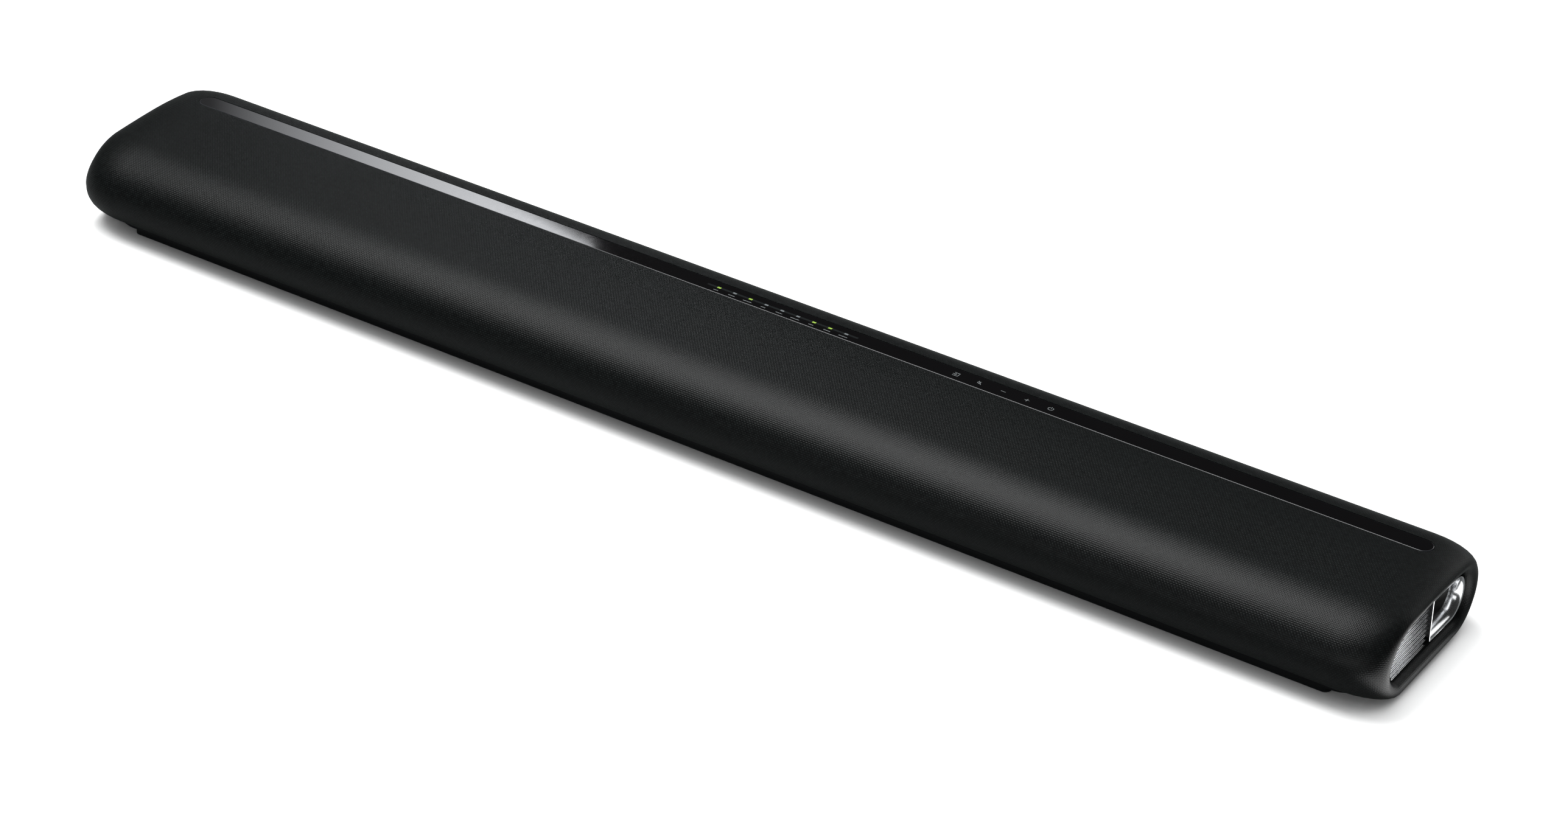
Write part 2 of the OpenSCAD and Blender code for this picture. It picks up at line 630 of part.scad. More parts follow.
module hdmi_sockets() {
    color("#b9bcc0") for (x = hdmi_x) {
        socket_shell(x, 15, 5.6, 11, 0.5);
        box([x - 5.5, jack_back - 10.6, socket_z - 0.5], [x + 5.5, jack_back - 1.5, socket_z + 0.5]);
    }
}
module optical_socket() { color("#18191a") socket_shell(optical_x, 9.4, 9.4, 12, 1.4); }
module service_port() { color("#b9bcc0") socket_shell(service_x, 8, 3.4, 6, 0.4); }
module analog_jack() {
    color("#2a2b2c") difference() {
        union() {
            box([analog_x - 4, bay_y - gap - 13, board_top_z], [analog_x + 4, bay_y - gap, socket_z + 3.8]);
            translate([analog_x, jack_back, socket_z]) rotate([90, 0, 0]) cylinder(h = jack_wall + 1, r = 3.2, $fn = 48);
        }
        translate([analog_x, jack_back + over, socket_z]) rotate([90, 0, 0]) cylinder(h = jack_l + over, r = jack_r, $fn = 48);
    }
}
module sub_out_jack() {
    color("#8a4b9c") difference() {
        union() {
            box([sub_out_x - 5, bay_y - gap - 12, board_top_z], [sub_out_x + 5, bay_y - gap, socket_z + 5]);
            translate([sub_out_x, jack_back + 6, socket_z]) rotate([90, 0, 0]) cylinder(h = 6 + jack_wall + 1, r = 4.2, $fn = 48);
        }
        translate([sub_out_x, jack_back + 6 + over, socket_z]) rotate([90, 0, 0]) cylinder(h = 10 + over, r = 1.7, $fn = 48);
    }
}
module mains_inlet() {
    color("#1c1d1e") {
        difference() {
            box([mains_x - 8, jack_back - 18, socket_z - 4.5], [mains_x + 8, jack_back, socket_z + 4.5]);
            for (s = [-1, 1]) translate([mains_x + s * 4, jack_back + over, socket_z]) rotate([90, 0, 0])
                cylinder(h = 12 + over, r = 3.6, $fn = 48);
            box([mains_x - 4, jack_back - 12, socket_z - 2.2], [mains_x + 4, jack_back + over, socket_z + 2.2]);
        }
        for (s = [-1, 1]) translate([mains_x + s * 4, jack_back - 2, socket_z]) rotate([90, 0, 0])
            cylinder(h = 11, r = 1.2, $fn = 32);
    }
}

// ---- boards

board_front = cabinet_front + 2;
main_from = -36;
main_to = 150;
power_from = -150;
board_posts = [for (x = [main_from + 6, main_to - 6, power_from + 6, main_from - 8], y = [board_front + 6, bay_y - 18]) [x, y]];
power_to = main_from - 2;

module board(x0, x1) {
    color("#23603f") difference() {
        box([x0, board_front, board_z], [x1, bay_y - 2, board_top_z]);
        for (p = board_posts) translate([p.x, p.y, board_z - over]) cylinder(h = board_t + 2 * over, r = screw_r, $fn = 24);
    }
}
module main_board() { board(main_from, main_to); }
module power_board() { board(power_from, power_to); }
module chip(x, y, w, d, h) { box([x - w / 2, y - d / 2, board_top_z], [x + w / 2, y + d / 2, board_top_z + h]); }
module main_board_parts() {
    color("#2a2b2d") {
        chip(20, board_front + 22, 18, 18, 1.6);
        chip(52, board_front + 20, 12, 12, 1.4);
        chip(-18, board_front + 24, 10, 8, 1.4);
        for (x = [-4, 38, 70]) translate([x, board_front + 8, board_top_z]) cylinder(h = 9, r = 3.2, $fn = 32);
        chip(136, board_front + 30, 8, 18, 7);
        chip(-28, board_front + 20, 6, 10, 6);
    }
}
module power_board_parts() {
    color("#3b3320") {
        chip(-118, board_front + 30, 26, 22, 19);
        for (x = [-92, -72]) translate([x, board_front + 20, board_top_z]) cylinder(h = 19, r = 8, $fn = 48);
        chip(-136, board_front + 12, 10, 10, 10);
        chip(-53, board_front + 14, 10, 14, 9);
    }
}
module heat_sink() {
    color("#9da1a6") translate([96, board_front + 18, board_top_z]) {
        box([-18, -9, 0], [18, 9, 3]);
        for (x = [-17 : 4 : 17]) box([x - 0.6, -9, 2.9], [x + 0.6, 9, 16]);
    }
}
module wireless_module() { color("#a9adb1") chip(120, board_front + 44, 20, 14, 2.6); }

ribbon_x = 78;
ribbon_w = 16;
module ribbon_cable() {
    top = strip_z - 7;
    color("#d9dadb") translate([ribbon_x - ribbon_w / 2, 0, 0]) plate([[bay_y - 8, board_top_z], [bay_y - 7.6, board_top_z],
        [bay_y - 7.6, top - 0.4], [strip_y - strip_w / 2 - carrier_foot - 0.6, top - 0.4],
        [strip_y - strip_w / 2 - carrier_foot - 0.6, top], [bay_y - 8, top]], 0, ribbon_w);
}

lead_r = 1.6;
lead_y = board_front + 30;
lead_z = board_top_z + 4;
module speaker_leads() {
    color("#b03028") {
        translate([140.2, lead_y, lead_z]) rotate([0, 90, 0]) cylinder(h = cabinet_in + 20 - 140.2, r = lead_r, $fn = 24);
        translate([-cabinet_in - 20, lead_y, lead_z]) rotate([0, 90, 0]) cylinder(h = cabinet_in + 20 - 132, r = lead_r, $fn = 24);
    }
}

// ---- screws

function around(x, y, d) = [for (a = [0 : 90 : 270]) [x + (d / 2 - 2.6) * cos(a), y + (d / 2 - 2.6) * sin(a)]];
driver_screw_places = concat(around(sub_x, sub_y, sub_d), around(woofer_x, woofer_y, woofer_d));

// A screw whose head's underside is at z = 0, pointing down
module screw(l) {
    color("#8f9398") {
        translate([0, 0, -l]) cylinder(h = l, r = screw_r, $fn = 24);
        cylinder(h = screw_head_t, r = screw_head_r, $fn = 32);
    }
}
module base_screws() {
    for (p = base_screw_places) translate([p.x, p.y, foot_h + screw_head_t]) rotate([180, 0, 0]) screw(11);
}
module short_screws() {
    both_sides() for (p = driver_screw_places) translate([p.x, p.y, baffle_h + flange_t]) screw(6);
    for (p = board_posts) translate([p.x, p.y, board_top_z]) screw(6);
}

base_cover();
foot_pads();
cloth_cover();
grille_frame();
side("left") end_ring();  // end_ring_left
side("right") end_ring();  // end_ring_right
touch_panel();
indicator_lenses_lit();
indicator_lenses_unlit();
light_guide();
touch_board();
strip_carrier();
side("left") cabinet();  // cabinet_left
side("right") cabinet();  // cabinet_right
cabinet_gaskets();
side("left") end_panel();  // end_panel_left
side("right") end_panel();  // end_panel_right
side("left") fin_grille();  // fin_grille_left
side("right") fin_grille();  // fin_grille_right
side("left") port_flare();  // port_flare_left
side("right") port_flare();  // port_flare_right
side("left") port_tube();  // port_tube_left
side("right") port_tube();  // port_tube_right
side("left") at_sub() driver_frame(sub);  // sub_frame_left
side("right") at_sub() driver_frame(sub);  // sub_frame_right
side("left") at_sub() driver_magnet(sub);  // sub_magnet_left
side("right") at_sub() driver_magnet(sub);  // sub_magnet_right
side("left") at_sub() driver_cone(sub);  // sub_cone_left
side("right") at_sub() driver_cone(sub);  // sub_cone_right
side("left") at_sub() driver_suspension(sub);  // sub_suspension_left
side("right") at_sub() driver_suspension(sub);  // sub_suspension_right
side("left") at_woofer() driver_frame(woofer);  // woofer_frame_left
side("right") at_woofer() driver_frame(woofer);  // woofer_frame_right
side("left") at_woofer() driver_magnet(woofer);  // woofer_magnet_left
side("right") at_woofer() driver_magnet(woofer);  // woofer_magnet_right
side("left") at_woofer() driver_cone(woofer);  // woofer_cone_left
side("right") at_woofer() driver_cone(woofer);  // woofer_cone_right
side("left") at_woofer() driver_suspension(woofer);  // woofer_suspension_left
side("right") at_woofer() driver_suspension(woofer);  // woofer_suspension_right
side("left") tweeter_housing();  // tweeter_housing_left
side("right") tweeter_housing();  // tweeter_housing_right
side("left") tweeter_dome();  // tweeter_dome_left
side("right") tweeter_dome();  // tweeter_dome_right
jack_panel();
hdmi_sockets();
optical_socket();
analog_jack();
sub_out_jack();
service_port();
mains_inlet();
main_board();
main_board_parts();
power_board();
power_board_parts();
heat_sink();
wireless_module();
ribbon_cable();
speaker_leads();
base_screws();
short_screws();
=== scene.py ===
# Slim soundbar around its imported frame: wrapped cloth, gloss touch strip, looped end fins, flared bass ports.
import json
import math

import bmesh
import bpy
from mathutils import Matrix, Quaternion, Vector


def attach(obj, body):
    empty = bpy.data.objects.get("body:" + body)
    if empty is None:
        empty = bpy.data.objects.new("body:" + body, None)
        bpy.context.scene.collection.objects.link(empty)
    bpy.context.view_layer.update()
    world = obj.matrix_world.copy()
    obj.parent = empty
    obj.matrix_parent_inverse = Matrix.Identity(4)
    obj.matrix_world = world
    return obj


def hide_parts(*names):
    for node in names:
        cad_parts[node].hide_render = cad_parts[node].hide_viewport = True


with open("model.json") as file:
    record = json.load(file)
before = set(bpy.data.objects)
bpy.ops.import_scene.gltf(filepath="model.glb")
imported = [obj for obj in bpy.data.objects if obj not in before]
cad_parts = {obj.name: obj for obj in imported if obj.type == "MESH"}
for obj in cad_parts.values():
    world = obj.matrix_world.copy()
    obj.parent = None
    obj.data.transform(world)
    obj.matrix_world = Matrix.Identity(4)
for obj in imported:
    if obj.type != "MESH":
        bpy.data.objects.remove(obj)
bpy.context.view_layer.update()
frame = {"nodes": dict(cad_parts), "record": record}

mm = 0.001
same = 0.001 * mm    # points closer than this are one point
crease = 35          # degrees: an edge sharper than this is shaded as an edge
scene = bpy.context.scene
nodes = frame["nodes"]
housing = "housing"
print("frame loaded:", len(nodes), "nodes")

shot = {"azimuth": 32.6, "elevation": 32.95, "roll": 1.53, "lens": 102.0, "sensor": 36, "distance": 2.55,
        "target": (0.0352, -0.0033, 0.01245)}


def makeCamera():
    a, e = math.radians(shot["azimuth"]), math.radians(shot["elevation"])
    back = Vector((math.sin(a) * math.cos(e), -math.cos(a) * math.cos(e), math.sin(e)))
    camera = bpy.data.objects.new("camera", bpy.data.cameras.new("camera"))
    camera.data.lens = shot["lens"]
    camera.data.sensor_width = shot["sensor"]
    camera.rotation_mode = "QUATERNION"
    roll = Quaternion((0, 0, 1), math.radians(shot["roll"]))
    camera.rotation_quaternion = (-back).to_track_quat("-Z", "Y") @ roll
    camera.location = Vector(shot["target"]) + back * shot["distance"]
    scene.collection.objects.link(camera)
    scene.camera = camera


makeCamera()
scene.view_settings.view_transform = "Standard"
print("camera set")


def linear(code):
    parts = [int(code[i:i + 2], 16) / 255 for i in (1, 3, 5)]
    return tuple(c / 12.92 if c <= 0.04045 else ((c + 0.055) / 1.055) ** 2.4 for c in parts) + (1.0,)


def addNode(tree, kind, *values, out=0, **settings):
    # values fill the inputs in order, or one dictionary fills them by name; a socket among them is linked
    node = tree.nodes.new("ShaderNode" + kind)
    for name, value in settings.items():
        setattr(node, name, value)
    inputs = values[0] if values and isinstance(values[0], dict) else dict(enumerate(values))
    for name, value in inputs.items():
        if isinstance(value, bpy.types.NodeSocket):
            tree.links.new(value, node.inputs[name])
        else:
            node.inputs[name].default_value = value
    return node.outputs[out] if node.outputs else node


def newMaterial(name):
    material = bpy.data.materials.new(name)
    material.use_nodes = True
    material.node_tree.nodes.clear()
    return material, material.node_tree


def grained(name, look):
    # Two tints drift over the part, and a fine grain moves the roughness and the bump together.
    material, tree = newMaterial(name)
    place = addNode(tree, "TexCoord", out="Object")
    along = addNode(tree, "Mapping", {"Vector": place, "Scale": look.get("stretch", (1, 1, 1))})
    grain = addNode(tree, "TexNoise", {"Vector": along, "Scale": 1 / (look["grain"] * mm), "Detail": 2})
    blotch = addNode(tree, "TexNoise", {"Vector": place, "Scale": 1 / (look["blotch"] * mm), "Detail": 4})
    tint = addNode(tree, "Mix", {"Factor": blotch, 6: linear(look["colour"]), 7: linear(look["worn"])},
                   out=2, data_type="RGBA")
    rough = addNode(tree, "MapRange", {"Value": grain, "To Min": look["rough"] - look["swing"],
                                       "To Max": look["rough"] + look["swing"]})
    bump = addNode(tree, "Bump", {"Height": grain, "Strength": look["bump"], "Distance": look["grain"] * mm * 0.3})
    inputs = {"Base Color": tint, "Roughness": rough, "Metallic": look.get("metal", 0),
              "Transmission Weight": look.get("clear", 0), "Normal": bump}
    if "ior" in look:
        inputs["IOR"] = look["ior"]
    if "glow" in look:
        inputs.update({"Emission Color": tint, "Emission Strength": look["glow"]})
    addNode(tree, "OutputMaterial", addNode(tree, "BsdfPrincipled", inputs))
    return material


# Grain and blotch are sizes in mm. Grain finer than half a millimetre is drawn at that size, so that it shows.
plainLooks = {
    # satin ABS from an etched mould: a soft broad sheen with a fine grit
    "satin_black_plastic": dict(colour="#141617", worn="#1B1D1F", rough=0.42, swing=0.06,
                                grain=0.6, blotch=30, bump=0.25, ior=1.53),
    # moulded silicone rubber: dull and slightly dusty
    "rubber": dict(colour="#0E0E0F", worn="#19191A", rough=0.82, swing=0.06,
                   grain=0.7, blotch=8, bump=0.3, ior=1.47),
    # glass-filled ABS of hidden frames and tubes: matt, with faint flow marks
    "black_plastic": dict(colour="#0B0B0C", worn="#131314", rough=0.6, swing=0.08,
                          grain=0.8, blotch=22, bump=0.2, ior=1.53, stretch=(0.3, 1, 1)),
    # translucent polycarbonate over a lit diode: an even yellow-green glow
    "lit_lens": dict(colour="#9CC648", worn="#B2D862", rough=0.3, swing=0.04,
                     grain=0.5, blotch=1.2, bump=0.05, ior=1.58, glow=0.32),
    # translucent polycarbonate, unlit: milky grey
    "grey_lens": dict(colour="#8B9295", worn="#A0A7AA", rough=0.3, swing=0.04,
                      grain=0.5, blotch=1.2, bump=0.05, ior=1.58),
    # clear acrylic light guide: bright and smooth
    "clear_plastic": dict(colour="#D6DADA", worn="#E6E9E9", rough=0.12, swing=0.03,
                          grain=1.5, blotch=10, bump=0.05, ior=1.49, clear=0.6),
    # solder mask on glass fibre: glossy green, with the weave of the glass just showing
    "circuit_board": dict(colour="#14553A", worn="#1E6C4B", rough=0.3, swing=0.08,
                          grain=0.8, blotch=3, bump=0.15, ior=1.5),
    # chrome plate on ABS: bright, slightly grey, hardly any grain
    "chrome_plate": dict(colour="#DADCDE", worn="#E8E9EB", rough=0.19, swing=0.03,
                         grain=0.8, blotch=12, bump=0.02, metal=1),
    # pressed steel in black stoving enamel: a hint of orange peel
    "pressed_steel": dict(colour="#1A1B1D", worn="#222427", rough=0.36, swing=0.06,
                          grain=1.6, blotch=14, bump=0.15, ior=1.5),
    # zinc-plated steel over ferrite: grey metal with a turned grain
    "magnet_steel": dict(colour="#8B8E91", worn="#A2A5A8", rough=0.38, swing=0.08,
                         grain=0.6, blotch=9, bump=0.1, metal=1, stretch=(1, 1, 6)),
    # coated paper pulp: fibrous and nearly matt
    "paper_cone": dict(colour="#2B2D30", worn="#3A3C40", rough=0.66, swing=0.1,
                       grain=0.9, blotch=4, bump=0.5, ior=1.47),
    # butyl rubber roll and cotton spider: soft black
    "cloth_and_foam": dict(colour="#131314", worn="#1D1D1F", rough=0.7, swing=0.08,
                           grain=0.7, blotch=5, bump=0.35, ior=1.5),
    # coated silk dome: fine weave under a soft doped skin
    "silk_dome": dict(colour="#46484C", worn="#5A5C60", rough=0.5, swing=0.08,
                      grain=0.5, blotch=2, bump=0.4, ior=1.5),
    # nickel plate: warm grey metal
    "socket_metal": dict(colour="#B5B3AE", worn="#C9C7C2", rough=0.24, swing=0.05,
                         grain=0.6, blotch=4, bump=0.05, metal=1),
    # moulded polystyrene, violet as a marker colour
    "violet_plastic": dict(colour="#6A3B80", worn="#7B4A92", rough=0.4, swing=0.06,
                           grain=0.6, blotch=4, bump=0.15, ior=1.59),
    # epoxy-moulded parts: matt dark grey
    "component": dict(colour="#26272A", worn="#3A3A3C", rough=0.55, swing=0.08,
                      grain=0.6, blotch=5, bump=0.2, ior=1.55),
    # extruded aluminium: drawn along its length
    "heat_sink_aluminium": dict(colour="#A9ACB0", worn="#BFC2C5", rough=0.36, swing=0.08,
                                grain=0.6, blotch=6, bump=0.12, metal=1, stretch=(1, 1, 0.1)),
    # extruded vinyl insulation: smooth and slightly shiny
    "cable": dict(colour="#8E2320", worn="#A3302B", rough=0.38, swing=0.05,
                  grain=0.8, blotch=6, bump=0.1, ior=1.53),
    # polyester flat cable: pale, with conductors running along it
    "flat_cable": dict(colour="#C9CBCC", worn="#DEE0E1", rough=0.4, swing=0.05,
                       grain=0.9, blotch=4, bump=0.25, ior=1.57, stretch=(4, 0.1, 0.1)),
    # zinc-plated screw: bluish bright metal
    "screw_steel": dict(colour="#9EA3A8", worn="#B9BDC1", rough=0.28, swing=0.06,
                        grain=0.6, blotch=3, bump=0.08, metal=1),
    # silk-screened grey ink on the strip: flat and pale, with the grain of the screen
    "printed_ink": dict(colour="#8E9496", worn="#A3A8AA", rough=0.55, swing=0.05,
                        grain=0.5, blotch=3, bump=0.05, ior=1.5),
    # the strip's cut edge, the same acrylic polished: a bright line, drawn in a lighter grey than the black face: a
    # painted highlight
    "polished_edge": dict(colour="#3C3E41", worn="#4A4C50", rough=0.16, swing=0.03,
                          grain=0.8, blotch=20, bump=0.02, ior=1.49),
}
finishes = {slot: grained(slot, look) for slot, look in plainLooks.items()}

# Thread spacings are a little coarser than real cloth's, so that they show. Sizes are in mm.
weave = {
    "weft": 1.15,    # spacing of the threads that run along the bar
    "warp": 0.95,    # spacing of the threads that run round it
    "warpRise": 0.62, "height": 0.26, "bump": 0.42,
    # the first colour is painted shade: the near-black painted into the hollows between threads
    "hollowShade": "#010202", "thread": "#1A1D1E", "bright": "#333838", "hollowShadeFade": 1.6,
    "patch": 2.5, "patchFrom": -0.6, "patchTo": 1.6, "drift": 60, "driftFrom": 0.8, "driftTo": 1.2,
    "rough": 0.26, "roughHollow": 0.4, "ior": 1.54, "shine": 0.22, "sheen": 0.03, "sheenTint": "#D4E0DE",
}


def makeCloth():
    # Woven polyester speaker cloth: matt black plain weave whose thread crowns catch the light one by one. Its colour
    # is painted darker from each crown down into the hollows between threads, near black there: painted shade.
    material, tree = newMaterial("speaker_cloth")

    def calc(operation, *values):
        return addNode(tree, "Math", *values, operation=operation)

    def thread(side, run, shift):
        # a thread's round back, rising over every second crossing thread
        back = calc("ABSOLUTE", calc("SINE", calc("MULTIPLY", side, math.pi)))
        phase = calc("ADD", calc("ADD", run, shift), calc("FLOOR", side))
        wave = calc("COSINE", calc("MULTIPLY", phase, math.pi))
        return calc("MULTIPLY", back, calc("MULTIPLY_ADD", wave, 0.5, 0.5))

    axes = addNode(tree, "SeparateXYZ", addNode(tree, "UVMap", uv_map="weave")).node.outputs
    along = calc("MULTIPLY", axes[0], 1 / (weave["warp"] * mm))
    across = calc("MULTIPLY", axes[1], 1 / (weave["weft"] * mm))
    weft, warp = thread(across, along, -0.5), thread(along, across, 0.5)
    height = calc("MAXIMUM", weft, calc("MULTIPLY", warp, weave["warpRise"]))
    place = addNode(tree, "TexCoord", out="Object")
    patch = addNode(tree, "TexNoise", {"Vector": place, "Scale": 1 / (weave["patch"] * mm), "Detail": 2})
    chance = addNode(tree, "MapRange", {"Value": patch, "To Min": weave["patchFrom"], "To Max": weave["patchTo"]})
    drift = addNode(tree, "TexNoise", {"Vector": place, "Scale": 1 / (weave["drift"] * mm), "Detail": 3})
    tone = addNode(tree, "MapRange", {"Value": drift, "To Min": weave["driftFrom"], "To Max": weave["driftTo"]})
    crown = addNode(tree, "Mix", {"Factor": chance, 6: linear(weave["thread"]), 7: linear(weave["bright"])},
                    out=2, data_type="RGBA")
    # painted shade: the thread colour darkens with depth into the weave's hollows
    shade = calc("MULTIPLY", calc("POWER", height, weave["hollowShadeFade"]), tone)
    colour = addNode(tree, "Mix", {"Factor": shade, 6: linear(weave["hollowShade"]), 7: crown},
                     out=2, data_type="RGBA")
    rough = addNode(tree, "MapRange", {"Value": height, "To Min": weave["roughHollow"], "To Max": weave["rough"]})
    bump = addNode(tree, "Bump", {"Height": height, "Strength": weave["bump"], "Distance": weave["height"] * mm})
    shader = addNode(tree, "BsdfPrincipled", {
        "Base Color": colour, "Roughness": rough, "IOR": weave["ior"], "Specular IOR Level": weave["shine"],
        "Sheen Weight": weave["sheen"], "Sheen Roughness": 0.5, "Sheen Tint": linear(weave["sheenTint"]),
        "Normal": bump})
    addNode(tree, "OutputMaterial", shader)
    return material


finishes["speaker_cloth"] = makeCloth()

gloss = {"colour": "#0B0A0B", "worn": "#121113", "drift": 35, "grain": 4, "rough": 0.035, "roughMost": 0.065,
         "band": "#2A2D2E", "bandLength": 104, "bandWidth": 1.7, "bandX": 7.5, "bandY": 35.3}


def makeGloss():
    # Polished acrylic printed black from behind: a dark mirror, with a faint grey band behind the indicators.
    material, tree = newMaterial("gloss_black")
    place = addNode(tree, "TexCoord", out="Object")
    axes = addNode(tree, "SeparateXYZ", place).node.outputs
    inside = []
    for axis, middle, size in ((0, gloss["bandX"], gloss["bandLength"]), (1, gloss["bandY"], gloss["bandWidth"])):
        off = addNode(tree, "Math", axes[axis], middle * mm, operation="SUBTRACT")
        far = addNode(tree, "Math", off, operation="ABSOLUTE")
        inside.append(addNode(tree, "Math", far, size * mm / 2, operation="LESS_THAN"))
    band = addNode(tree, "Math", *inside, operation="MULTIPLY")
    drift = addNode(tree, "TexNoise", {"Vector": place, "Scale": 1 / (gloss["drift"] * mm), "Detail": 3})
    grain = addNode(tree, "TexNoise", {"Vector": place, "Scale": 1 / (gloss["grain"] * mm), "Detail": 2})
    base = addNode(tree, "Mix", {"Factor": drift, 6: linear(gloss["colour"]), 7: linear(gloss["worn"])},
                   out=2, data_type="RGBA")
    colour = addNode(tree, "Mix", {"Factor": band, 6: base, 7: linear(gloss["band"])}, out=2, data_type="RGBA")
    rough = addNode(tree, "MapRange", {"Value": grain, "To Min": gloss["rough"], "To Max": gloss["roughMost"]})
    bump = addNode(tree, "Bump", {"Height": drift, "Strength": 0.02, "Distance": 0.1 * mm})
    shader = addNode(tree, "BsdfPrincipled", {"Base Color": colour, "Roughness": rough, "IOR": 1.49, "Normal": bump})
    addNode(tree, "OutputMaterial", shader)
    return material


finishes["gloss_black"] = makeGloss()

for part in frame["record"]["subparts"]:
    nodes[part["node"]].data.materials.clear()
    nodes[part["node"]].data.materials.append(finishes[part["material_slot"]])
print("materials made:", len(finishes))


def newPiece(name, bm, finish, sharp=crease):
    mesh = bpy.data.meshes.new(name)
    bm.to_mesh(mesh)
    bm.free()
    piece = bpy.data.objects.new(name, mesh)
    scene.collection.objects.link(piece)
    mesh.materials.append(finishes[finish])
    mesh.polygons.foreach_set("use_smooth", [True] * len(mesh.polygons))
    if sharp:
        mesh.set_sharp_from_angle(angle=math.radians(sharp))
    return piece


def settle(piece, sharp=crease):
    # the piece's modifiers become its mesh
    bpy.context.view_layer.update()
    mesh = bpy.data.meshes.new_from_object(piece.evaluated_get(bpy.context.evaluated_depsgraph_get()))
    piece.modifiers.clear()
    piece.data = mesh
    mesh.polygons.foreach_set("use_smooth", [True] * len(mesh.polygons))
    mesh.set_sharp_from_angle(angle=math.radians(sharp))


def cutAway(piece, *cutters, sharp=crease):
    for cutter in cutters:
        cut = piece.modifiers.new("cut", "BOOLEAN")
        cut.operation, cut.object, cut.solver = "DIFFERENCE", cutter, "EXACT"
    settle(piece, sharp)
    for cutter in cutters:
        bpy.data.objects.remove(cutter)


def ease(piece, width, segments, angle):
    # a small round on the edges that are sharper than the angle
    soft = piece.modifiers.new("soft", "BEVEL")
    soft.width, soft.segments = width * mm, segments
    soft.limit_method, soft.angle_limit = "ANGLE", math.radians(angle)


def addBox(bm, low, high):
    low, high = Vector(low) * mm, Vector(high) * mm
    matrix = Matrix.Translation((low + high) / 2) @ Matrix.Diagonal((high - low).to_4d())
    return bmesh.ops.create_cube(bm, size=1, matrix=matrix)["verts"]


def boxPiece(low, high):
    bm = bmesh.new()
    addBox(bm, low, high)
    return newPiece("cutter", bm, "black_plastic", sharp=0)


def raiseAlong(bm, made, vec):
    # moves what an extrusion made
    bmesh.ops.translate(bm, vec=vec, verts=[v for v in made["geom"] if isinstance(v, bmesh.types.BMVert)])


def stadium(length, width, low, high, steps=64):
    # a flat bar with round ends: a disc pulled apart, then raised
    bm = bmesh.new()
    bmesh.ops.create_circle(bm, cap_ends=True, radius=width / 2 * mm, segments=steps)
    for v in bm.verts:
        if abs(v.co.x) > 1e-7:
            v.co.x += math.copysign((length - width) / 2 * mm, v.co.x)
        v.co.z = low * mm
    raiseAlong(bm, bmesh.ops.extrude_face_region(bm, geom=bm.faces[:]), (0, 0, (high - low) * mm))
    bmesh.ops.recalc_face_normals(bm, faces=bm.faces[:])
    return bm


def drape(columns, rows, place):
    # a grid laid over a shape: place(i, j) gives the point and its map, and the last row meets the first
    bm = bmesh.new()
    bmesh.ops.create_grid(bm, x_segments=columns, y_segments=rows, size=1)
    index = {v: (round((v.co.x + 1) / 2 * columns), round((v.co.y + 1) / 2 * rows)) for v in bm.verts}
    layer = bm.loops.layers.uv.verify()
    for face in bm.faces:
        for loop in face.loops:
            loop[layer].uv = place(*index[loop.vert])[1]
    for v, (i, j) in index.items():
        v.co = Vector(place(i, j)[0]) * mm
    bmesh.ops.remove_doubles(bm, verts=bm.verts[:], dist=same)
    bmesh.ops.recalc_face_normals(bm, faces=bm.faces[:])
    return bm


# The bar's outline, in mm. Where its curves meet is given in from the front or rear edge, and down from the top.
bar = {
    "end": 445, "front": -65.5, "rear": 65.5, "top": 53, "foot": 4, "nose": 29, "tail": 28,
    "bellyFront": 23.5, "brow": (37, 0.4), "crown": 70, "shoulder": (20, 2.25), "bellyRear": 26,
    # each curve's handle where it starts, its handle where it ends, and its steps
    "curves": [((-9, 0), (0, -14), 6), ((0, 10), (-22, -0.6), 7), ((11, 0.3), (-11, 0), 3),
               ((14, 0), (-14, 1.8), 3), ((12, -1.5), (0, 12), 6), ((0, -13), (14, 0), 6)],
    "belly": 3, "fine": 3,
    # how the ends round off and turn in round the opening
    "round": 28, "roundSteps": 8, "frontIn": 15.5, "rearIn": 11, "topIn": 5, "bottomIn": 0.5,
    "lip": 6, "lipSteps": 7, "land": 6, "pitch": 32,
}


def bezier(a, b, c, d, n):
    steps = [i / n for i in range(n)]
    return [a * (1 - t) ** 3 + b * 3 * t * (1 - t) ** 2 + c * 3 * t * t * (1 - t) + d * t ** 3 for t in steps]


def outline():
    # [y, z] points up the front, over the top and down the rear
    front, rear, top, foot = bar["front"], bar["rear"], bar["top"], bar["foot"]
    (browIn, browDown), (shoulderIn, shoulderDown) = bar["brow"], bar["shoulder"]
    knots = [Vector(p) for p in (
        (front + bar["bellyFront"], foot), (front, bar["nose"]), (front + browIn, top - browDown),
        (front + bar["crown"], top), (rear - shoulderIn, top - shoulderDown), (rear, bar["tail"]),
        (rear - bar["bellyRear"], foot))]
    points = []
    for a, b, (leave, arrive, steps) in zip(knots, knots[1:], bar["curves"]):
        points += bezier(a, a + Vector(leave), b + Vector(arrive), b, steps * bar["fine"])
    return points + [knots[-1].lerp(knots[0], i / bar["belly"]) for i in range(bar["belly"])]


section = outline()
sectionLength = [0.0]
for k, point in enumerate(section):
    sectionLength.append(sectionLength[-1] + (section[(k + 1) % len(section)] - point).length)


def inward(k):
    t = (section[(k + 1) % len(section)] - section[k - 1]).normalized()
    return Vector((t.y, -t.x))


def drawnIn(p, share):
    # the section as the bar's end rounds off: share is 0 on the bar and 1 at the end ring
    up = (p.y - bar["foot"]) / (bar["top"] - bar["foot"])
    side = bar["frontIn"] if p.x < 0 else bar["rearIn"]
    return Vector((p.x * (1 - share * side / bar["rear"]),
                   p.y + share * (bar["bottomIn"] * (1 - up) - bar["topIn"] * up)))


def ring(k, share, inset):
    return drawnIn(section[k % len(section)], share) + inset * inward(k % len(section))


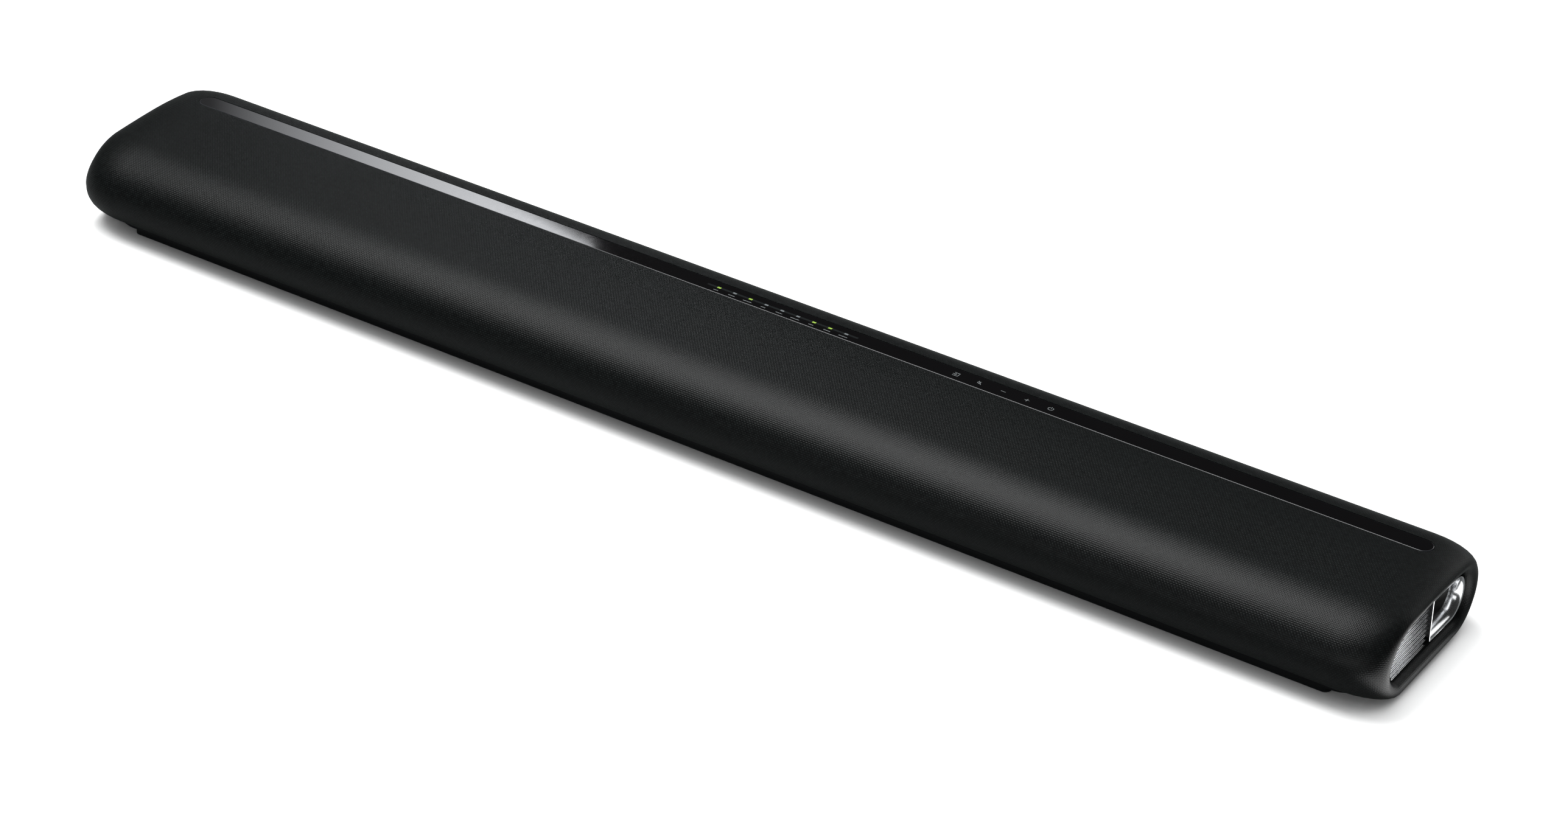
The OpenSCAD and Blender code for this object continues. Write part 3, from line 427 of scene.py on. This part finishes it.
def stations():
    # [x, share, inset] from the middle of the bar to its end opening and in
    half = [(x, 0.0, 0.0) for x in range(0, int(bar["end"] - bar["round"]), bar["pitch"])]
    for k in range(bar["roundSteps"] + 1):
        a = math.radians(90 * k / bar["roundSteps"])
        half.append((bar["end"] - bar["round"] * (1 - math.sin(a)), 1 - math.cos(a), 0.0))
    for k in range(1, bar["lipSteps"] + 1):
        a = math.radians(90 * k / bar["lipSteps"])
        half.append((bar["end"] - bar["lip"] * (1 - math.cos(a)), 1.0, bar["lip"] * math.sin(a)))
    half.append((bar["end"] - bar["lip"] - bar["land"], 1.0, float(bar["lip"])))
    return [(-x, share, inset) for x, share, inset in reversed(half[1:])] + half


cloth = {"thick": 0.8, "openEnd": 430.3, "openTop": 7.2, "bayHalf": 75.3, "bayY": 14, "bayTop": 27.3, "over": 5,
         "stripLength": 851, "stripWidth": 13.2, "stripY": 35.3, "stripZ": 51.777, "stripTilt": -5.334,
         "gap": 0.3, "slotLow": -8, "slotHigh": 3}
stripMatrix = (Matrix.Translation(Vector((0, cloth["stripY"], cloth["stripZ"])) * mm)
               @ Matrix.Rotation(math.radians(cloth["stripTilt"]), 4, "X"))


def makeClothShell():
    # one stretched sheet, open under the bar, round the jack bay and round the strip
    runs = stations()
    travel = [0.0]
    for a, b in zip(runs, runs[1:]):
        travel.append(travel[-1] + math.hypot(b[0] - a[0], (b[1] - a[1]) * bar["frontIn"] + b[2] - a[2]))

    def place(i, j):
        x, share, inset = runs[i]
        p = ring(j, share, inset)
        return (x, p.x, p.y), (travel[i] * mm, sectionLength[j] * mm)

    piece = newPiece("cloth", drape(len(runs) - 1, len(section), place), "speaker_cloth", sharp=0)
    piece.data.uv_layers[0].name = "weave"
    shell = piece.modifiers.new("shell", "SOLIDIFY")
    shell.thickness, shell.offset, shell.use_even_offset = cloth["thick"] * mm, -1, True
    over, end, half, rear = cloth["over"], cloth["openEnd"], cloth["bayHalf"], bar["rear"] + cloth["over"]
    base = boxPiece((-end, bar["front"] - over, -over), (end, rear, cloth["openTop"]))
    bay = boxPiece((-half, cloth["bayY"], -over), (half, rear, cloth["bayTop"]))
    slot = stadium(cloth["stripLength"] + 2 * cloth["gap"], cloth["stripWidth"] + 2 * cloth["gap"],
                   cloth["slotLow"], cloth["slotHigh"])
    slot.transform(stripMatrix)
    cutAway(piece, base, bay, newPiece("cutter", slot, "black_plastic", sharp=0))
    return piece


clothPiece = makeClothShell()
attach(clothPiece, housing)
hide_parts("cloth_cover")
print("cloth wrapped:", len(clothPiece.data.polygons), "faces")

strip = {"length": 851, "width": 13.2, "thick": 1.8, "chamfer": 0.45, "endSteps": 96, "sharp": 10,
         "windows": 9, "pitch": 11, "middle": 7.5, "windowLength": 2.5, "windowWidth": 1.6, "windowDepth": 1.0}
windowsX = [strip["middle"] + (k - (strip["windows"] - 1) / 2) * strip["pitch"] for k in range(strip["windows"])]


def makeStrip():
    bm = stadium(strip["length"], strip["width"], -strip["thick"], 0, strip["endSteps"])
    rim = [e for e in bm.edges if all(abs(v.co.z) < 1e-7 for v in e.verts)]
    cut = bmesh.ops.bevel(bm, geom=rim, offset=strip["chamfer"] * mm, segments=2, profile=0.5,
                          affect="EDGES", material=-1)
    # the chamfer takes the lighter grey edge finish: a painted highlight along the strip's edge
    for face in cut["faces"]:
        face.material_index = 1
    bm.transform(stripMatrix)
    piece = newPiece("touch_strip", bm, "gloss_black")
    piece.data.materials.append(finishes["polished_edge"])
    cutters = bmesh.new()
    halfX, halfY = strip["windowLength"] / 2, strip["windowWidth"] / 2
    for x in windowsX:
        addBox(cutters, (x - halfX, -halfY, -strip["windowDepth"]), (x + halfX, halfY, 1))
    cutters.transform(stripMatrix)
    cutAway(piece, newPiece("cutter", cutters, "black_plastic", sharp=0), sharp=strip["sharp"])
    return piece


stripPiece = makeStrip()
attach(stripPiece, housing)
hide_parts("touch_panel")
print("touch strip made")

marks = {
    "ink": 0.04, "line": 0.38, "first": 125.5, "pitch": 15.55,
    # each symbol's strokes, from the middle of its touch spot: x, y, length, turn in degrees
    "symbols": [
        [(0, -1.75, 3.5, 0), (0, 1.75, 3.5, 0), (1.75, 0, 3.5, 90),
         (-0.9, 0, 2.6, 0), (-0.2, 0.45, 1.2, -45), (-0.2, -0.45, 1.2, 45)],    # source
        [(-1.2, 0, 1.1, 90), (-0.8, 0.55, 0.9, 0), (-0.8, -0.55, 0.9, 0), (-0.05, 0.95, 1.05, 40),
         (-0.05, -0.95, 1.05, -40), (0.35, 0, 2.6, 90), (0.2, 0, 4.4, -52)],    # mute
        [(0, 0, 3.1, 0)],                                                       # quieter
        [(0, 0, 3.1, 0), (0, 0, 3.1, 90)],                                      # louder
        [(0, 1.085, 1.75, 90)],                                                 # standby, inside a ring
    ],
    "ring": {"symbol": 4, "radius": 1.6, "start": 120, "sweep": 300, "steps": 24},
    "dash": {"y": -3.7, "width": 0.5, "length": 3.2, "longer": 1.3},
}


def makeMarks():
    # printed symbols, and a plain dash before each indicator
    bm = bmesh.new()
    ink, loop, tag = marks["ink"], marks["ring"], marks["dash"]

    def dash(x, y, length, angle=0.0, width=marks["line"]):
        verts = addBox(bm, (-length / 2, -width / 2, 0), (length / 2, width / 2, ink))
        turn = Matrix.Translation(Vector((x, y, 0)) * mm) @ Matrix.Rotation(math.radians(angle), 4, "Z")
        bmesh.ops.transform(bm, matrix=turn, verts=verts)

    def arc(x):
        # a small square swept round a centre
        centre, a = Vector((x, 0, 0)) * mm, math.radians(loop["start"])
        out = Vector((math.cos(a), math.sin(a), 0))
        corners = [bm.verts.new(centre + out * (loop["radius"] + s * marks["line"] / 2) * mm + Vector((0, 0, h * mm)))
                   for s, h in ((-1, 0), (1, 0), (1, ink), (-1, ink))]
        face = bm.faces.new(corners)
        bmesh.ops.spin(bm, geom=[face, *face.edges, *corners], cent=centre, axis=(0, 0, 1),
                       angle=math.radians(loop["sweep"]), steps=loop["steps"])

    for k, strokes in enumerate(marks["symbols"]):
        spot = marks["first"] + k * marks["pitch"]
        if k == loop["symbol"]:
            arc(spot)
        for x, y, length, angle in strokes:
            dash(spot + x, y, length, angle)
    for k, x in enumerate(windowsX):
        dash(x, tag["y"], tag["length"] + tag["longer"] * (k % 3), 0, tag["width"])
    bmesh.ops.recalc_face_normals(bm, faces=bm.faces[:])
    bm.transform(stripMatrix)
    return newPiece("touch_marks", bm, "printed_ink")


marksPiece = makeMarks()
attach(marksPiece, housing)
print("printed marks made")

fins = {"count": 9, "margin": 0.8, "height": 1.9, "wall": 0.5, "depth": 4, "back": 436, "frontGap": 2.4,
        "rearGap": 2.4, "step": 2.0, "divider": 7, "edgeRoom": 0.2, "turnSteps": 9, "soft": 0.06}
opening = [ring(k, 1.0, bar["lip"]) for k in range(len(section))]
openingLow, openingHigh = min(p.y for p in opening), max(p.y for p in opening)


def frontOfOpening(z):
    # the opening's front edge at height z
    room = fins["edgeRoom"]
    edge = [p for p in opening if p.x < 0 and openingLow + room < p.y < openingHigh - room]
    edge.sort(key=lambda p: p.y)
    z = min(max(z, edge[0].y), edge[-1].y)
    for a, b in zip(edge, edge[1:]):
        if a.y <= z <= b.y:
            return a.x + (b.x - a.x) * (z - a.y) / max(b.y - a.y, 1e-9)
    return edge[-1].x


def makeFins(name, side):
    # thin bands, each turned back on itself in a loop at the front
    bm = bmesh.new()
    pitch = (openingHigh - openingLow - 2 * fins["margin"]) / fins["count"]
    r = (fins["height"] - fins["wall"]) / 2
    rear = fins["divider"] - fins["rearGap"]
    turn = [math.radians(180 * k / fins["turnSteps"]) for k in range(fins["turnSteps"] + 1)]
    for k in range(fins["count"]):
        z = openingLow + fins["margin"] + pitch * (k + 0.5)
        front = frontOfOpening(z) + fins["frontGap"] + r
        path = [(rear, z - r), *((front - r * math.sin(a), z - r * math.cos(a)) for a in turn),
                (rear - fins["step"], z + r)]
        verts = [bm.verts.new(Vector((fins["back"], y, h)) * mm) for y, h in path]
        edges = [bm.edges.new(pair) for pair in zip(verts, verts[1:])]
        raiseAlong(bm, bmesh.ops.extrude_edge_only(bm, edges=edges), (fins["depth"] * mm, 0, 0))
    bmesh.ops.recalc_face_normals(bm, faces=bm.faces[:])
    if side < 0:
        bmesh.ops.scale(bm, vec=(-1, 1, 1), verts=bm.verts[:])
        bmesh.ops.reverse_faces(bm, faces=bm.faces[:])
    piece = newPiece(name, bm, "chrome_plate")
    wall = piece.modifiers.new("wall", "SOLIDIFY")
    wall.thickness, wall.offset, wall.use_even_offset = fins["wall"] * mm, 0, True
    ease(piece, fins["soft"], 2, 50)
    settle(piece)
    return piece


port = {"inset": 1.2, "wall": 0.5, "y": 26.25, "up": 3, "radius": 9.5, "mouth": 441, "lipIn": 3.2, "lipDeep": 7.0,
        "lipSteps": 7, "deep": 15, "duct": 5, "straight": 12, "divider": 0.25, "rimFrom": 3.5, "sideUp": 1,
        "soft": 0.22, "sharp": 50}


def mouth(edge):
    # the opening behind the divider, closed by a straight side; the side takes only a share of the edge
    rim = [ring(k, 1.0, bar["lip"] + port["inset"] + edge) for k in range(len(section))]
    rim = [p for p in rim if p.x > fins["divider"] + port["rimFrom"]]
    low, high = rim[-1].y + port["sideUp"], rim[0].y
    y = fins["divider"] + port["wall"] + (edge - port["wall"]) * port["divider"]
    return rim + [Vector((y, low + (high - low) * k / port["straight"])) for k in range(port["straight"] + 1)]


def makePort(name, side):
    # a rolled chrome lip in front, then a black duct that narrows to the round tube
    centre = Vector((port["y"], openingLow + port["up"] + port["radius"]))
    runs = []    # depth from the mouth, how far in, and how round
    for k in range(port["lipSteps"] + 1):
        a = math.radians(90 * k / port["lipSteps"])
        runs.append((port["lipDeep"] * (1 - math.cos(a)), port["lipIn"] * math.sin(a), 0.0))
    for k in range(1, port["duct"] + 1):
        share = k / port["duct"]
        runs.append((port["lipDeep"] + (port["deep"] - port["lipDeep"]) * share, port["lipIn"],
                     math.sin(math.radians(90 * share)) ** 2))
    rims = [mouth(port["wall"] + inset) for _, inset, _ in runs]
    count = min(len(rim) for rim in rims)

    def place(i, j):
        depth, _, share = runs[i]
        p = rims[i][j % count]
        q = p.lerp(centre + (p - centre).normalized() * port["radius"], share)
        return (side * (port["mouth"] - depth), q.x, q.y), (i / len(runs), j / count)

    bm = drape(len(runs) - 1, count, place)
    middle = Vector((0, centre.x, centre.y)) * mm
    if sum(f.normal.dot(f.calc_center_median() - middle) * (1 - abs(f.normal.x)) for f in bm.faces) > 0:
        bmesh.ops.reverse_faces(bm, faces=bm.faces[:])    # the polished side faces the hole
    for face in bm.faces:
        face.material_index = int(abs(face.calc_center_median().x) < (port["mouth"] - port["lipDeep"]) * mm)
    piece = newPiece(name, bm, "chrome_plate")
    piece.data.materials.append(finishes["black_plastic"])
    wall = piece.modifiers.new("wall", "SOLIDIFY")
    wall.thickness, wall.offset = port["wall"] * mm, -1
    ease(piece, port["soft"], 3, 60)
    settle(piece, port["sharp"])
    return piece


for word, side in (("left", -1), ("right", 1)):
    for piece, node in ((makeFins("fins_" + word, side), "fin_grille_"),
                        (makePort("port_mouth_" + word, side), "port_flare_")):
        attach(piece, housing)
        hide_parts(node + word)
print("end fins and ports made")

moulded = {"base_cover": 0.35, "jack_panel": 0.3, "foot_pads": 0.25}    # each part's edge round, in mm


def softened(node, width):
    # a copy of a moulded part with its sharp edges eased, so that they catch the light
    bm = bmesh.new()
    bm.from_mesh(nodes[node].data)
    bmesh.ops.remove_doubles(bm, verts=bm.verts[:], dist=same)
    bmesh.ops.dissolve_limit(bm, angle_limit=math.radians(1), verts=bm.verts[:], edges=bm.edges[:])
    slot = next(p["material_slot"] for p in frame["record"]["subparts"] if p["node"] == node)
    piece = newPiece(node + "_moulded", bm, slot)
    ease(piece, width, 2, 40)
    settle(piece)
    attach(piece, housing)
    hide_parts(node)


for node, width in moulded.items():
    softened(node, width)
print("moulded edges eased")

board = {"size": 14, "colour": "#F6F7F7", "pale": "#FBFBFB", "drift": 400, "thrownBack": "#6E7272", "inGloss": 0.92,
         "glow": 0.85, "contactShadeReach": 0.014, "contactShadeFade": 1.3, "shade": 0.06, "shadeFrom": 0.22, "shadeTo": 0.5}


def makeBoard():
    # White painted board: even and matt. It glows where nothing stands near, and throws little light back up. Ambient
    # occlusion holds the glow back close to the bar and in enclosed places: a painted contact shadow and painted
    # shade.
    material, tree = newMaterial("painted_board")
    place = addNode(tree, "TexCoord", out="Object")
    drift = addNode(tree, "TexNoise", {"Vector": place, "Scale": 1 / (board["drift"] * mm), "Detail": 2})
    tint = addNode(tree, "Mix", {"Factor": drift, 6: linear(board["colour"]), 7: linear(board["pale"])},
                   out=2, data_type="RGBA")
    # painted contact shadow: the glow fades with ambient occlusion near the bar, and in enclosed places such as the
    # bay
    contactShade = addNode(tree, "AmbientOcclusion", {"Distance": board["contactShadeReach"]}, out="AO", samples=8)
    enclosedShade = addNode(tree, "AmbientOcclusion", {"Distance": board["shade"]}, out="AO", samples=8)
    clear = addNode(tree, "MapRange", {"Value": enclosedShade, "From Min": board["shadeFrom"], "From Max": board["shadeTo"]})
    fadedContactShade = addNode(tree, "Math", contactShade, board["contactShadeFade"], operation="POWER")
    share = addNode(tree, "Math", fadedContactShade, clear, operation="MULTIPLY")
    strength = addNode(tree, "Math", share, board["glow"], operation="MULTIPLY")
    lit = addNode(tree, "AddShader", addNode(tree, "BsdfDiffuse", tint), addNode(tree, "Emission", tint, strength))
    dim = addNode(tree, "BsdfDiffuse", linear(board["thrownBack"]))
    rays = addNode(tree, "LightPath").node.outputs
    mirrored = addNode(tree, "Math", rays["Is Glossy Ray"], board["inGloss"], operation="MULTIPLY")
    bounced = addNode(tree, "Math", rays["Is Diffuse Ray"], mirrored, operation="MAXIMUM")
    addNode(tree, "OutputMaterial", addNode(tree, "MixShader", bounced, lit, dim))
    return material


def makeFloor():
    bm = bmesh.new()
    bmesh.ops.create_grid(bm, x_segments=4, y_segments=4, size=board["size"] / 2)
    finishes["painted_board"] = makeBoard()
    newPiece("floor", bm, "painted_board", sharp=0)


sky = {"colour": "#FBFCFC", "strength": 0.12, "inGloss": 0.03}


def makeSky():
    world = bpy.data.worlds.new("sky")
    world.use_nodes = True
    tree = world.node_tree
    tree.nodes.clear()
    ray = addNode(tree, "LightPath", out="Is Glossy Ray")
    strength = addNode(tree, "MapRange", {"Value": ray, "To Min": sky["strength"], "To Max": sky["inGloss"]})
    addNode(tree, "OutputWorld", addNode(tree, "Background", linear(sky["colour"]), strength))
    scene.world = world


lights = [
    # name, place, aimed at, size, power
    ("overhead_softbox", (-0.92, 0.12, 2.65), (0, -0.02, 0.04), (2.1, 1.6), 58),
    ("front_softbox", (0.6, -2.4, 1.0), (0, 0, 0.02), (2.4, 0.8), 9),
    ("rear_softbox", (0.9, 2.2, 0.9), (0, 0, 0.03), (1.6, 0.8), 6),
]


def makeLight(name, place, aim, size, power):
    light = bpy.data.lights.new(name, "AREA")
    light.shape, light.size, light.size_y, light.energy = "RECTANGLE", size[0], size[1], power
    lamp = bpy.data.objects.new(name, light)
    lamp.location = place
    lamp.rotation_euler = (Vector(aim) - Vector(place)).to_track_quat("-Z", "Y").to_euler()
    scene.collection.objects.link(lamp)


def litSheet(name, corners, emission):
    # a bright sheet out of view, seen only in polished pieces; emission(tree) gives its shader
    bm = bmesh.new()
    bm.faces.new([bm.verts.new(p) for p in corners])
    finishes[name + "_light"], tree = newMaterial(name + "_light")
    addNode(tree, "OutputMaterial", emission(tree))
    piece = newPiece(name, bm, name + "_light", sharp=0)
    piece.visible_camera = piece.visible_diffuse = piece.visible_shadow = False


card = {"left": (-1.6, 1.5, 0.66), "right": (-1.061, 1.5, 0.758), "tall": 0.14, "colour": "#F4F6FA",
        "dimX": -1.56, "dim": 0.2, "brightX": -1.12, "bright": 7}


def makeCard():
    # behind the bar for the touch strip, brighter towards its right end
    left, right, up = Vector(card["left"]), Vector(card["right"]), Vector((0, 0, card["tall"]))

    def emission(tree):
        x = addNode(tree, "SeparateXYZ", addNode(tree, "TexCoord", out="Object"))
        strength = addNode(tree, "MapRange", {"Value": x, "From Min": card["dimX"], "From Max": card["brightX"],
                                              "To Min": card["dim"], "To Max": card["bright"]})
        return addNode(tree, "Emission", linear(card["colour"]), strength)

    litSheet("card", [left, right, right + up, left + up], emission)


fill = {"low": (0.452, -0.12), "high": (0.70, 0.045), "up": 0.001, "colour": "#FFFFFF", "bright": 2.5}


def makeFill():
    # on the floor by the right end, for the fins
    (x0, y0), (x1, y1) = fill["low"], fill["high"]
    corners = [(x, y, fill["up"]) for x, y in ((x0, y0), (x1, y0), (x1, y1), (x0, y1))]
    litSheet("fill", corners, lambda tree: addNode(tree, "Emission", linear(fill["colour"]), fill["bright"]))


makeFloor()
makeSky()
makeCard()
makeFill()
for light in lights:
    makeLight(*light)
print("studio lit")
